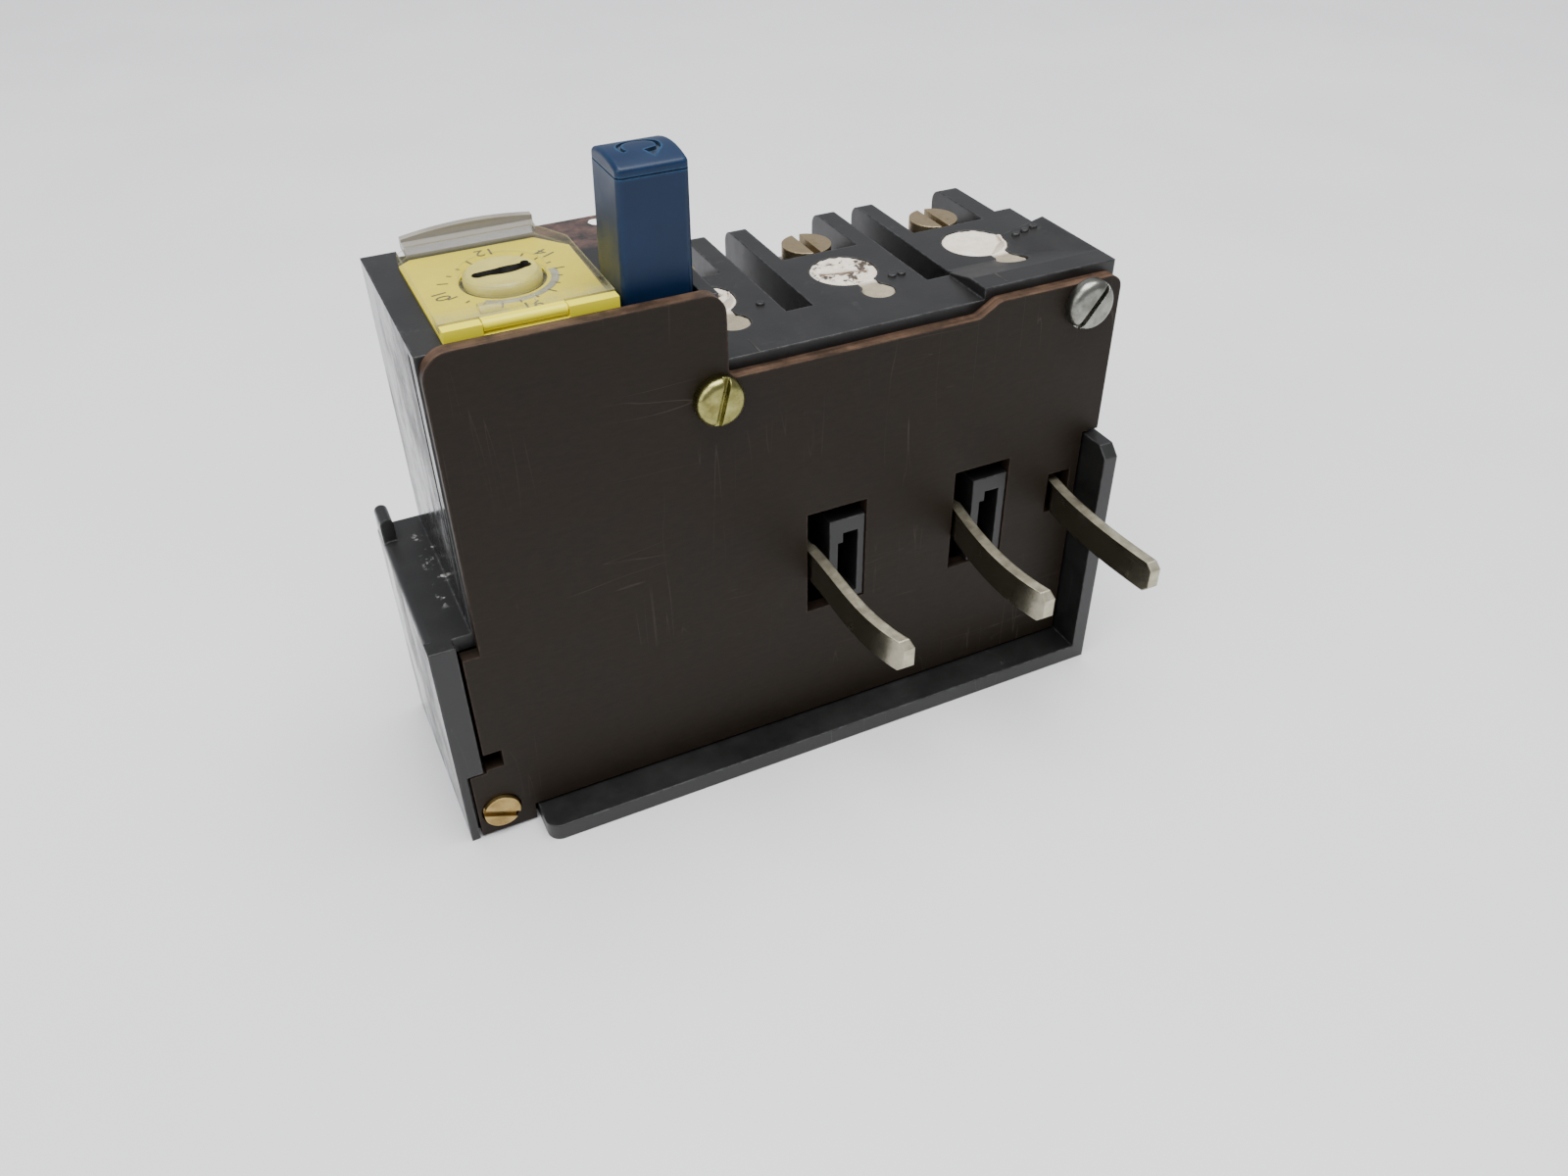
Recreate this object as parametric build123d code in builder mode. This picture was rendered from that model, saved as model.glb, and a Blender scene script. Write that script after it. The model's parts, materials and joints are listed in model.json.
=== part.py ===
from build123d import *
import os

os.makedirs("parts", exist_ok=True)

# Frame: X runs along the relay's width, +Y points away from the contactor side, +Z is up when the relay
# stands on its mounting side. The origin is on the mounting side, in the plane of the insulating plate's
# outer face, half way along the body.

# ---------------------------------------------------------------- driving dimensions (mm)
half_width = 36.0          # the body without its shelf
shelf_left = -40.6
shelf_top = 26.2
body_front = 1.5           # the plate lies in front of this plane
body_back = 24.0
left_top = 55.75           # the dial side
left_top_end = -8.7
terminal_top = 49.0        # the terminal side
right_step = 20.05         # the last pole's end of the terminal side stands higher along its front
end_top = 50.2
pad_back = 4.2
ramp_back = 9.3
end_slope_left = 30.6      # and slopes up to the right face
end_back = 14.6
corner_steps = {(16.2, 20.8): 49.3, (20.8, 25.0): 46.6}   # depth and height of the stepped top corner
lip_front = -4.0
lip_height = 2.05
lip_left = -33.0
flange_left = 34.3
flange_top = 30.4

pole_pitch = 16.2
pole_x = [-5.5 + pole_pitch * i for i in range(3)]
rib_back = 30.4
rib_bottom = 34.0
ribs = [(-12.4, -10.2), (-1.0, 1.2), (4.2, 6.2), (15.2, 17.4), (20.4, 22.4), (31.4, 33.9)]
rib_slots = [(1.2, 4.2), (17.4, 20.4)]
rib_slot_front = 8.2
bays = [(-10.2, -1.0), (6.2, 15.2), (22.4, 31.4)]
bay_front = 19.5
bay_floor = 38.0

chamber_back = 22.5
chambers = [(-8.9, 2.2), (7.4, 20.0), (24.3, 34.4)]
pockets = [(-8.9, -1.2), (7.3, 14.9), (23.5, 31.2)]
chamber_z = (4.0, 36.0)
pocket_top = 46.8
pocket_back = 18.0

mechanism_x = (-34.4, -10.4)
mechanism_split = -18.3
mechanism_back = 19.05

window_z = (17.2, 30.0)
windows = [(-0.5, 6.5), (17.4, 24.4)]
socket_top = 28.1          # the blocks behind the windows come forward to the plate's face
socket_wide = (1.6, 3.4)   # the socket's two steps, from the block's left side
socket_narrow = (1.0, 1.7)
socket_bottom = 18.1
socket_back = 7.0
blade_x = [0.1, 18.2, 31.2]
blade_z = (21.5, 25.1)
blade_thickness = 1.2
blade_back = 23.1

dial_x, dial_y = -25.3, 12.4
dial_radius = 3.6
card_z = (left_top, left_top + 0.3)
card_x = (-33.2, -17.7)
card_back = 20.6
cover_z = (56.25, 57.15)
cover_x = (-33.2, -17.6)
tab_x = (-32.2, -19.4)     # the cover's finger tab
tab_y = (22.4, 23.3)
hinge_y, hinge_z = 2.75, 56.7
hinge_x = (-29.7, -22.3)   # the cover's barrel, between the ends of the card's rim
trunnion = 0.8
rim_y = (2.1, 3.3)
rim_top = 57.1

button_x = (-16.75, -10.2)
button_foot_x = (-17.3, -10.45)   # the cap is a little wider at its foot
button_y = (2.8, 9.6)
button_z = (52.2, 68.2)
button_crown = 0.6
stem_x = (-16.4, -12.6)
stem_y = (3.4, 9.4)
stem_bottom = 38.0
button_clearance = 0.15
spring_seat = 28.0

bimetal_x = [x + 0.5 for x in pole_x]
bimetal_y = (10.5, 13.5)
bimetal_z = (7.0, 38.0)
bimetal_half = 0.4
heater_radius = 2.6
heater_wire = 0.36

bar_z = (41.0, 42.4)
bar_half = 3.2
terminal_y = 22.8
terminal_head_z = (46.2, 48.8)
terminal_head_radius = 2.75
keyhole_y = 14.1
keyhole_radius = 3.6
keyhole_tail = (1.0, 8.3, 1.75)   # place beside the pole's middle, depth and radius
calibration = (-0.6, 16.6)        # the calibration screw, from the pole's middle

slider_y = (15.6, 17.0)
slider_z = (5.2, 9.2)
slider_x = (-18.7, 29.5)

lever_x, lever_z = -20.6, 24.0
rocker_x, rocker_z = -29.0, 36.0
pin_y = (10.5, 23.3)
pin_radius = 1.0
pin_clearance = 0.06

auxiliary_x = [-32.0, -26.0, -20.0]
auxiliary_z = 46.0

plate_screws = {
    "plate_screw_upper": (-9.9, 46.1, 2.5, 15),
    "plate_screw_right": (31.8, 46.9, 2.7, 38),
}
foot_screw = (-36.9, 3.3, 1.95, 24)
screw_hole = 1.3
plate_edge = 0.35          # from the plate to the lip around it


def block(x, y, z, mode=Mode.ADD):
    """A box from its lowest and highest place along each axis."""
    with Locations(((x[0] + x[1]) / 2, (y[0] + y[1]) / 2, (z[0] + z[1]) / 2)):
        Box(x[1] - x[0], y[1] - y[0], z[1] - z[0], mode=mode)


def rod_y(x, z, y, radius, mode=Mode.ADD):
    """A round bar along Y."""
    with Locations((x, (y[0] + y[1]) / 2, z)):
        Cylinder(radius, y[1] - y[0], rotation=(90, 0, 0), mode=mode)


def rod_z(x, y, z, radius, mode=Mode.ADD):
    """A round bar along Z."""
    with Locations((x, y, (z[0] + z[1]) / 2)):
        Cylinder(radius, z[1] - z[0], mode=mode)


def rod_x(y, z, x, radius, mode=Mode.ADD):
    """A round bar along X."""
    with Locations(((x[0] + x[1]) / 2, y, z)):
        Cylinder(radius, x[1] - x[0], rotation=(0, 90, 0), mode=mode)


def front_plane(y):
    """A drawing plane facing the contactor at depth y: its axes are X and Z."""
    return Plane.XZ.offset(-y)


def keep(builder, name):
    """Name the finished piece and write it."""
    builder.part.label = name
    export_step(builder.part, "parts/" + name + ".step")


# ---------------------------------------------------------------- housing
with BuildPart() as housing:
    with BuildSketch(front_plane(body_front)):
        with BuildLine():
            Polyline(
                (shelf_left, 0), (shelf_left, shelf_top), (-half_width, shelf_top), (-half_width, left_top),
                (left_top_end, left_top), (left_top_end, terminal_top), (half_width, terminal_top),
                (half_width, 0), close=True,
            )
        make_face()
    extrude(amount=-(body_back - body_front))
    # the outer corners that the hand meets are rounded
    left_edges = housing.edges().filter_by(Axis.Y).group_by(Axis.X)
    fillet(left_edges[0].sort_by(Axis.Z)[-1], 0.8)
    # raised right end: a pad along the front that ramps down behind, and a slope up to the right face
    with BuildSketch(Plane.YZ.offset(right_step)):
        with BuildLine():
            Polyline(
                (body_front, terminal_top - 1), (body_front, end_top), (pad_back, end_top),
                (ramp_back, terminal_top), (ramp_back, terminal_top - 1), close=True,
            )
        make_face()
    extrude(amount=half_width - right_step)
    with BuildSketch(front_plane(body_front)):
        with BuildLine():
            Polyline(
                (end_slope_left, terminal_top - 1), (end_slope_left, terminal_top), (half_width, end_top),
                (half_width, terminal_top - 1), close=True,
            )
        make_face()
    extrude(amount=-(end_back - body_front))
    # phase barriers stand out at the back
    for low, high in ribs:
        block((low, high), (bay_front, rib_back), (rib_bottom, terminal_top))
    fillet(housing.faces().sort_by(Axis.Y)[-6:].edges().filter_by(Axis.X).group_by(Axis.Z)[-1], 1.6)
    # terminal bays, open at the top and at the back
    for low, high in bays:
        block((low, high), (bay_front, rib_back + 1), (bay_floor, left_top + 1), Mode.SUBTRACT)
    for low, high in rib_slots:
        block((low, high), (rib_slot_front, rib_back + 1), (bay_floor, left_top + 1), Mode.SUBTRACT)
    # stepped top corner right of the last barrier
    for depth, height in corner_steps.items():
        block((ribs[-1][1], half_width + 1), depth, (height, left_top), Mode.SUBTRACT)
    # chambers for the three poles, open towards the plate
    for low, high in chambers:
        block((low, high), (body_front - 1, chamber_back), chamber_z, Mode.SUBTRACT)
    for low, high in pockets:
        block((low, high), (body_front - 1, pocket_back), (chamber_z[1] - 1, pocket_top), Mode.SUBTRACT)
    # seats for the terminal bars, with their way through the bay's front wall
    for x in pole_x:
        block((x - bar_half, x + bar_half), (bay_front - 0.1, body_back), (bay_floor - 0.1, bar_z[0]))
        block((x - bar_half - 0.1, x + bar_half + 0.1), (pocket_back - 0.5, bay_front + 0.2),
              (bar_z[0], bar_z[1] + 0.1), Mode.SUBTRACT)
        rod_z(x, terminal_y, (bay_floor + 0.3, bar_z[0] + 1), 1.7, Mode.SUBTRACT)
    # mechanism space at the left
    block((mechanism_x[0], mechanism_split), (body_front - 1, chamber_back), (4.0, 40.0), Mode.SUBTRACT)
    block((mechanism_x[0], mechanism_split), (body_front - 1, mechanism_back), (39.0, 53.6), Mode.SUBTRACT)
    block((mechanism_split - 1, mechanism_x[1]), (body_front - 1, chamber_back), (4.0, 26.0), Mode.SUBTRACT)
    block((shelf_left + 1.4, mechanism_x[0] + 1), (body_front - 1, chamber_back), (9.0, 24.6), Mode.SUBTRACT)
    # passage for the trip slider through the chamber walls
    block((mechanism_x[1] - 1, chambers[2][0] + 1), (slider_y[0] - 0.15, slider_y[1] + 0.15),
          (slider_z[0] - 0.15, slider_z[1] + 0.15), Mode.SUBTRACT)
    # the blocks behind the two windows stand flush in them, with a stepped socket
    for (low, high), (_, window_right) in zip([(chambers[0][1], chambers[1][0]), (chambers[1][1], chambers[2][0])],
                                              windows):
        block((low, window_right - 0.12), (0.15, body_front + 0.5), (window_z[0] + 0.15, socket_top))
        block((low - 1, high + 1), (body_front - 1, 4.5), (socket_top, 31.0), Mode.SUBTRACT)
        block((low + socket_wide[0], low + socket_wide[1]), (-1, socket_back), (socket_bottom, 26.3), Mode.SUBTRACT)
        block((low + socket_narrow[0], low + socket_narrow[1]), (-1, socket_back), (socket_bottom, 25.1), Mode.SUBTRACT)
    # the blades are held in grooves in the back wall
    for x in blade_x:
        block((x - blade_thickness / 2 - 0.05, x + blade_thickness / 2 + 0.05), (chamber_back - 1, blade_back + 0.05),
              (blade_z[0] - 0.05, blade_z[1] + 0.05), Mode.SUBTRACT)
    # button shaft: wide above for the cap, narrow below for the stem and its spring
    block((button_foot_x[0] - button_clearance, button_x[1] + button_clearance),
          (button_y[0] - button_clearance, button_y[1] + button_clearance), (48.9, left_top + 1), Mode.SUBTRACT)
    block((stem_x[0] - button_clearance, stem_x[1] + button_clearance),
          (stem_y[0] - button_clearance, stem_y[1] + button_clearance), (spring_seat, 50.0), Mode.SUBTRACT)
    # dial bearing
    rod_z(dial_x, dial_y, (53.0, left_top + 1), 2.06, Mode.SUBTRACT)
    # notch at the back of the dial side for the cover's finger tab
    block((cover_x[0] + 0.6, cover_x[1] - 1.6), (22.6, body_back + 1), (54.6, left_top + 1), Mode.SUBTRACT)
    # keyholes over the calibration screws
    for x in pole_x:
        rod_z(x, keyhole_y, (pocket_top - 1, left_top), keyhole_radius, Mode.SUBTRACT)
        tail_x = x + keyhole_tail[0]
        rod_z(tail_x, keyhole_tail[1], (pocket_top - 1, left_top), keyhole_tail[2], Mode.SUBTRACT)
        block((tail_x - 1.2, tail_x + 1.0), (keyhole_tail[1], 12.0), (pocket_top - 1, left_top), Mode.SUBTRACT)
    # bosses and holes of the plate screws
    for x, z, _, _ in plate_screws.values():
        rod_y(x, z, (body_front, 6.2), 2.4)
        rod_y(x, z, (0, 10.0), screw_hole, Mode.SUBTRACT)
    rod_y(foot_screw[0], foot_screw[1], (0, 12.0), screw_hole, Mode.SUBTRACT)
    # bearing holes of the two mechanism pins
    rod_y(lever_x, lever_z, (chamber_back - 1, 23.4), pin_radius, Mode.SUBTRACT)
    rod_y(rocker_x, rocker_z, (chamber_back - 1, 23.4), pin_radius, Mode.SUBTRACT)
    # auxiliary terminals: wells in the back face
    for x in auxiliary_x:
        block((x - 2.6, x + 2.6), (20.4, body_back + 1), (auxiliary_z - 4.0, auxiliary_z + 4.0), Mode.SUBTRACT)
        rod_y(x, auxiliary_z, (18.0, 21.0), screw_hole, Mode.SUBTRACT)
    # lip in front of the plate: bar below, flange at the right, wall at the left
    block((lip_left, half_width), (lip_front, body_front + 0.5), (0, lip_height))
    block((flange_left, half_width), (lip_front, body_front + 0.5), (0, flange_top))
    block((shelf_left, -37.95), (0, body_front + 0.5), (9.2, shelf_top))
    block((shelf_left, -39.7), (0, body_front + 0.5), (0, 9.3))
    # rounded lug on the shelf
    block((shelf_left + 0.1, shelf_left + 1.5), (20.4, 23.6), (shelf_top - 1, shelf_top + 2.0))
    rod_y(shelf_left + 0.8, shelf_top + 2.0, (20.4, 23.6), 0.7)
    # groove down the left face, beside the plate
    block((-half_width - 0.1, -half_width + 0.45), (3.3, 4.2), (shelf_top + 0.2, left_top - 0.8), Mode.SUBTRACT)
    chamfer(housing.edges().filter_by(Axis.X).filter_by_position(Axis.Z, flange_top - 0.1, flange_top + 0.1)
            .filter_by_position(Axis.Y, lip_front - 0.1, lip_front + 0.1), 1.2)
    fillet(housing.edges().filter_by(Axis.Z).filter_by_position(Axis.Y, lip_front - 0.1, lip_front + 0.1)
           .filter_by_position(Axis.X, lip_left - 0.1, lip_left + 0.1), 1.5)
keep(housing, "housing")

# ---------------------------------------------------------------- insulating plate and its screws
with BuildPart() as insulating_plate:
    with BuildSketch(front_plane(0)) as outline:
        with BuildLine():
            Polyline(
                (-39.4, 0.3), (lip_left - plate_edge, 0.3), (lip_left - plate_edge, lip_height + plate_edge),
                (flange_left - plate_edge, lip_height + plate_edge), (flange_left - plate_edge, flange_top + plate_edge),
                (half_width, flange_top + plate_edge), (half_width, 49.2),
                (21.1, 49.2), (18.8, 47.8), (-8.6, 47.8), (-8.6, 56.4), (-35.85, 56.4), (-35.85, 24.4),
                (-37.6, 24.4), (-37.6, 11.6), (-35.7, 11.6), (-35.7, 9.4), (-37.6, 9.4), (-37.6, 9.0),
                (-39.4, 9.0), close=True,
            )
        make_face()
        top_corners = outline.vertices().group_by(Axis.Y)[-1]
        fillet(top_corners.sort_by(Axis.X)[0], 2.6)
        fillet(outline.vertices().group_by(Axis.Y)[-1].sort_by(Axis.X)[-1], 2.0)
        fillet(outline.vertices().group_by(Axis.X)[-1].sort_by(Axis.Y)[-1], 1.5)
        fillet(outline.vertices().filter_by_position(Axis.X, 18, 22).filter_by_position(Axis.Y, 47, 50), 1.2)
        fillet(outline.vertices().filter_by_position(Axis.X, -8.7, -8.5).filter_by_position(Axis.Y, 47, 48), 1.0)
        for low, high in windows:
            with Locations(((low + high) / 2, sum(window_z) / 2)):
                Rectangle(high - low, window_z[1] - window_z[0], mode=Mode.SUBTRACT)
        with Locations((31.5, 23.6)):
            Rectangle(2.9, 5.2, mode=Mode.SUBTRACT)
    extrude(amount=-(body_front - 0.02))
    for x, z, _, _ in plate_screws.values():
        rod_y(x, z, (-1, 3), screw_hole, Mode.SUBTRACT)
    rod_y(foot_screw[0], foot_screw[1], (-1, 3), screw_hole, Mode.SUBTRACT)
    rod_y(foot_screw[0], foot_screw[1], (-1, 0.7), foot_screw[2] + 0.2, Mode.SUBTRACT)
keep(insulating_plate, "insulating_plate")

for name, (x, z, radius, slot_turn) in plate_screws.items():
    with BuildPart() as plate_screw:
        rod_y(x, z, (-1.5, 0), radius)
        fillet(plate_screw.faces().sort_by(Axis.Y)[0].edges(), 0.9)
        rod_y(x, z, (-0.5, 9.5), screw_hole - 0.1)
        with BuildSketch(front_plane(-2.0)):
            with Locations(Location((x, z), -slot_turn)):
                Rectangle(0.7, 2 * radius + 1)
        extrude(amount=-1.3, mode=Mode.SUBTRACT)
    keep(plate_screw, name)

with BuildPart() as foot_screw_piece:
    foot_x, foot_z, foot_radius, foot_turn = foot_screw
    rod_y(foot_x, foot_z, (-0.5, 0.7), foot_radius)
    rod_y(foot_x, foot_z, (0.5, 11.5), screw_hole - 0.1)
    with BuildSketch(front_plane(-1.0)):
        with Locations(Location((foot_x, foot_z - 0.3), -foot_turn)):
            Rectangle(2 * foot_radius + 1, 0.75)
    extrude(amount=-1.15, mode=Mode.SUBTRACT)
keep(foot_screw_piece, "foot_screw")

# ---------------------------------------------------------------- contact blades
blade_names = ["blade_left", "blade_middle", "blade_right"]
blade_bows = [
    [(0.2, 1.0), (0.2, -5.1), (0.2, -10.2), (1.7, -17.5)],
    [(0.2, 1.0), (-0.6, -4.4), (-0.9, -10.0), (0.2, -17.2)],
    [(0.0, 1.0), (-0.7, -5.0), (-0.7, -11.0), (-0.1, -18.0)],
]
for name, x, bow in zip(blade_names, blade_x, blade_bows):
    side = blade_thickness / 2
    with BuildPart() as blade:
        with BuildSketch(Plane.XY.offset(blade_z[0])):
            with BuildLine():
                left = Spline([(x + dx - side, y) for dx, y in bow])
                right = Spline([(x + dx + side, y) for dx, y in bow])
                Line(left @ 1, right @ 1)
                Polyline(left @ 0, (x - side, 1.6), (x - side, blade_back), (x + side, blade_back),
                         (x + side, 1.6), right @ 0)
            make_face()
        extrude(amount=blade_z[1] - blade_z[0])
        tip = blade.faces().sort_by(Axis.Y)[0].edges().filter_by(Axis.X)
        chamfer(tip, 0.7)
    keep(blade, name)

# ---------------------------------------------------------------- poles: bimetal, heater, terminal
for i, (x, strip_x) in enumerate(zip(pole_x, bimetal_x), start=1):
    with BuildPart() as bimetal:
        block((strip_x - bimetal_half, strip_x + bimetal_half), bimetal_y, bimetal_z)
    keep(bimetal, "bimetal_%d" % i)

    with BuildPart() as heater:
        with BuildLine(Plane.XY.offset(12.0)) as winding:
            Helix(pitch=1.9, height=17.0, radius=heater_radius, center=(strip_x, sum(bimetal_y) / 2, 0))
        with BuildSketch(Plane(origin=winding.line @ 0, z_dir=winding.line % 0)):
            Circle(heater_wire)
        sweep()
    keep(heater, "heater_%d" % i)

    with BuildPart() as terminal_bar:
        block((x - bar_half, x + bar_half), (9.5, 27.5), bar_z)
        block((strip_x + bimetal_half, strip_x + bimetal_half + 1.2), bimetal_y, (32.0, bar_z[0] + 0.1))
        rod_z(x, terminal_y, (40, 43), 1.75, Mode.SUBTRACT)
        rod_z(x + calibration[0], calibration[1], (40, 43), 1.0, Mode.SUBTRACT)
    keep(terminal_bar, "terminal_bar_%d" % i)

    with BuildPart() as seal:
        seal_z = (pocket_top, terminal_top + 0.05)
        tail_x = x + keyhole_tail[0]
        rod_z(x, keyhole_y, seal_z, keyhole_radius - 0.03)
        rod_z(tail_x, keyhole_tail[1], seal_z, keyhole_tail[2] - 0.03)
        block((tail_x - 1.17, tail_x + 0.97), (keyhole_tail[1], 12.0), seal_z)
    keep(seal, "seal_%d" % i)

with BuildPart() as terminal_screws:
    for x in pole_x:
        rod_z(x, terminal_y, (38.5, terminal_head_z[0] + 0.1), 1.65)
        rod_z(x, terminal_y, terminal_head_z, terminal_head_radius)
    for x in pole_x:
        block((x - 0.45, x + 0.45), (terminal_y - 4, terminal_y + 4), (47.4, 50), Mode.SUBTRACT)
keep(terminal_screws, "terminal_screws")

with BuildPart() as terminal_clamps:
    for x in pole_x:
        block((x - 3.4, x + 3.4), (19.8, 26.4), (terminal_head_z[0] - 1.2, terminal_head_z[0]))
        block((x - 3.4, x + 3.4), (25.4, 26.4), (terminal_head_z[0] - 2.2, terminal_head_z[0] - 1.0))
        rod_z(x, terminal_y, (40, 48), 1.8, Mode.SUBTRACT)
keep(terminal_clamps, "terminal_clamps")

with BuildPart() as calibration_screws:
    for x in pole_x:
        screw_x = x + calibration[0]
        rod_z(screw_x, calibration[1], (39.5, 44.6), 0.95)
        rod_z(screw_x, calibration[1], (44.5, 46.2), 1.3)
        block((screw_x - 1.6, screw_x + 1.6), (calibration[1] - 0.2, calibration[1] + 0.2), (45.5, 47), Mode.SUBTRACT)
keep(calibration_screws, "calibration_screws")

with BuildPart() as flexible_leads:
    for x, pin_x in zip(bimetal_x, blade_x):
        turn_x = pin_x - blade_thickness / 2 - 0.5
        with BuildLine() as lead_path:
            FilletPolyline(
                (x, bimetal_y[1] + 0.1, 11.0), (x, 19.0, 11.0), (turn_x, 19.0, 11.0), (turn_x, 19.0, 23.0), radius=1.2,
            )
        with BuildSketch(Plane(origin=lead_path.line @ 0, z_dir=lead_path.line % 0)):
            Circle(0.45)
        sweep(path=lead_path.line)
keep(flexible_leads, "flexible_leads")

# ---------------------------------------------------------------- dial, card and clear cover
with BuildPart() as scale_card:
    with BuildSketch(Plane.XY.offset(card_z[0])):
        with BuildLine():
            Polyline((card_x[0], rim_y[0]), (card_x[1], rim_y[0]), (-17.45, 17.3), (-20.0, card_back),
                     (-32.0, card_back), (card_x[0], card_back - 1.0), close=True)
        make_face()
        with Locations((dial_x, dial_y)):
            Circle(dial_radius + 0.4, mode=Mode.SUBTRACT)
    extrude(amount=card_z[1] - card_z[0])
    # raised rim along the front, open in the middle for the cover's hinge barrel
    block((card_x[0], hinge_x[0] - 0.1), rim_y, (card_z[0], rim_top))
    block((hinge_x[1] + 0.1, card_x[1]), rim_y, (card_z[0], rim_top))
    rod_x(hinge_y, hinge_z, (hinge_x[0] - trunnion - 0.2, hinge_x[1] + trunnion + 0.2), 0.27, Mode.SUBTRACT)
keep(scale_card, "scale_card")

with BuildPart() as current_dial:
    rod_z(dial_x, dial_y, (left_top + 0.1, 57.0), dial_radius)
    chamfer(current_dial.faces().sort_by(Axis.Z)[-1].edges(), 0.4)
    rod_z(dial_x, dial_y, (49.0, left_top + 0.5), 2.0)
    with BuildSketch(Plane.XY.offset(57.1)):
        with Locations(Location((dial_x, dial_y), 5)):
            SlotOverall(5.6, 1.1)
    extrude(amount=-1.0, mode=Mode.SUBTRACT)
keep(current_dial, "current_dial")

with BuildPart() as adjusting_cam:
    rod_z(dial_x + 1.0, dial_y, (49.6, 51.8), 3.9)
    rod_z(dial_x, dial_y, (48, 53), 2.0, Mode.SUBTRACT)
keep(adjusting_cam, "adjusting_cam")

with BuildPart() as dial_washer:
    rod_z(dial_x, dial_y, (51.8, 52.3), 3.2)
    rod_z(dial_x, dial_y, (52.3, 53.0), 2.6)
    rod_z(dial_x, dial_y, (53.0, 53.5), 3.2)
    rod_z(dial_x, dial_y, (51, 54), 2.05, Mode.SUBTRACT)
keep(dial_washer, "dial_washer")

with BuildPart() as clear_cover:
    with BuildSketch(Plane.XY.offset(cover_z[0])):
        with BuildLine():
            Polyline((cover_x[0], 3.6), (cover_x[1], 3.6), (cover_x[1], 17.0), (-19.6, 20.9), (tab_x[1], tab_y[1]),
                     (tab_x[0], tab_y[1]), (tab_x[0], 20.9), (cover_x[0], 19.8), close=True)
        make_face()
        with Locations((dial_x, dial_y)):
            Circle(dial_radius + 0.4, mode=Mode.SUBTRACT)
    extrude(amount=cover_z[1] - cover_z[0])
    # arched finger tab along the back edge
    with BuildSketch(front_plane(tab_y[0])):
        with BuildLine():
            tab_top = ThreePointArc((tab_x[0], 57.4), (-26.0, 58.0), (tab_x[1], 57.6))
            Polyline(tab_top @ 1, (tab_x[1], cover_z[0]), (tab_x[0], cover_z[0]), tab_top @ 0)
        make_face()
    extrude(amount=-(tab_y[1] - tab_y[0]))
    # hinge barrel with its two trunnions, and the bump behind it
    rod_x(hinge_y, hinge_z, hinge_x, 0.5)
    rod_x(hinge_y, hinge_z, (hinge_x[0] - trunnion, hinge_x[1] + trunnion), 0.23)
    block(hinge_x, (hinge_y, 4.2), (hinge_z - 0.3, cover_z[1]))
    rod_x(4.7, cover_z[1] - 0.3, (hinge_x[0] + 0.3, hinge_x[1] - 2.2), 0.9)
    block(hinge_x, (3.6, 6.2), (54.0, cover_z[0]), Mode.SUBTRACT)
keep(clear_cover, "clear_cover")

# ---------------------------------------------------------------- reset button
with BuildPart() as reset_button:
    with BuildSketch(Plane.YZ.offset(button_foot_x[0])):
        with BuildLine():
            shoulder = button_z[1] - button_crown
            crown = ThreePointArc((button_y[0], shoulder), (sum(button_y) / 2, button_z[1]), (button_y[1], shoulder))
            Polyline(crown @ 1, (button_y[1], button_z[0]), (button_y[0], button_z[0]), crown @ 0)
        make_face()
    extrude(amount=button_x[1] - button_foot_x[0])
    # the two sides lean towards the top
    with BuildSketch(front_plane(button_y[0] - 1)):
        with BuildLine():
            Polyline((button_foot_x[0], button_z[0]), (button_foot_x[1], button_z[0]), (button_x[1], button_z[1]),
                     (button_x[0], button_z[1]), close=True)
        make_face()
    extrude(amount=-(button_y[1] - button_y[0] + 2), mode=Mode.INTERSECT)
    upright = reset_button.edges().filter_by(lambda e: abs(e.tangent_at(0.5).Z) > 0.9)
    fillet(upright, 0.6)
    fillet(reset_button.faces().sort_by(Axis.Z)[-1].edges(), 0.45)
    block(stem_x, stem_y, (stem_bottom, button_z[0] + 0.1))
    rod_z(sum(stem_x) / 2, sum(stem_y) / 2, (stem_bottom - 3.0, stem_bottom + 0.1), 0.9)
keep(reset_button, "reset_button")

with BuildPart() as reset_spring:
    with BuildLine(Plane.XY.offset(spring_seat + 0.3)) as coil:
        Helix(pitch=1.57, height=9.4, radius=1.45, center=(sum(stem_x) / 2, sum(stem_y) / 2, 0))
    with BuildSketch(Plane(origin=coil.line @ 0, z_dir=coil.line % 0)):
        Circle(0.25)
    sweep()
keep(reset_spring, "reset_spring")

# ---------------------------------------------------------------- trip mechanism
with BuildPart() as trip_slider:
    block(slider_x, slider_y, slider_z)
    for x in bimetal_x:
        edge = x - bimetal_half - 0.2
        block((edge - 1.0, edge), (bimetal_y[0] - 0.2, slider_y[0] + 0.1), (6.0, 9.0))
keep(trip_slider, "trip_slider")

with BuildPart() as trip_lever:
    rod_y(lever_x, lever_z, (12.0, 18.0), 2.4)
    block((lever_x - 0.8, lever_x + 0.8), (12.0, 18.0), (18.0, 40.0))
    rod_y(lever_x, lever_z, (11.0, 19.0), pin_radius + pin_clearance, Mode.SUBTRACT)
keep(trip_lever, "trip_lever")

with BuildPart() as compensating_bimetal:
    block((lever_x + 0.8, lever_x + 1.6), (13.0, 17.0), (5.8, 21.4))
keep(compensating_bimetal, "compensating_bimetal")

with BuildPart() as lever_pin:
    rod_y(lever_x, lever_z, pin_y, pin_radius)
keep(lever_pin, "lever_pin")

with BuildPart() as slider_spring:
    with BuildLine(Plane(origin=(-33.9, 15.0, 12.0), z_dir=(1, 0, 0))) as slider_coil:
        Helix(pitch=1.9, height=12.0, radius=1.5)
    with BuildSketch(Plane(origin=slider_coil.line @ 0, z_dir=slider_coil.line % 0)):
        Circle(0.22)
    sweep()
keep(slider_spring, "slider_spring")

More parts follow.
